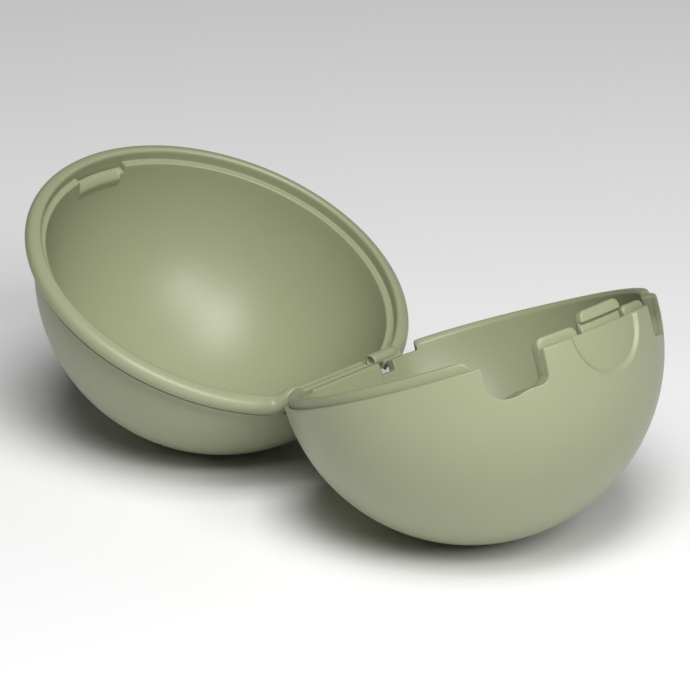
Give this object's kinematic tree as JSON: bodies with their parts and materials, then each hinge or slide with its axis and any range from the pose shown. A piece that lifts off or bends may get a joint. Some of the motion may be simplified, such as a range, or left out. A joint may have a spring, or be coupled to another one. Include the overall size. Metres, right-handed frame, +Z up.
{
  "type": "pacifier case",
  "caption": "Ball-shaped pacifier case in sage green matte plastic, standing open: base bowl with strap mouths and a sprung hook, and a hinged lid bowl with a thick rolled bead.",
  "frame": {"origin": "middle of the open case's box, on the floor that both bowls touch", "axes": "+X from the lid to the base and its latch, +Y along the hinge line, +Z up"},
  "size_m": [0.1738, 0.0984, 0.0683],
  "materials": {
    "sage_shell": "satin, fine moulded grain",
    "sage_liner": "satin, fine moulded grain"
  },
  "bodies": {
    "base": {"base_shell": "sage_shell", "base_liner": "sage_liner", "hinge_pin": "sage_liner"},
    "lid": {"lid_bowl": "sage_shell", "lid_collar": "sage_shell"},
    "latch": {"latch_hook": "sage_shell"}
  },
  "joints": [
    {"name": "lid_hinge", "type": "hinge", "parent": "base", "child": "lid", "pos_m": [0.00018, 0, 0.02808], "axis": [0, 1, 0], "range_deg": [0, 132.5]},
    {"name": "latch_flex", "type": "hinge", "parent": "base", "child": "latch", "pos_m": [0.08282, 0, 0.05539], "axis": [0, -1, 0], "range_deg": [0, 5], "stiffness_Nm_per_rad": 0.6}
  ]
}
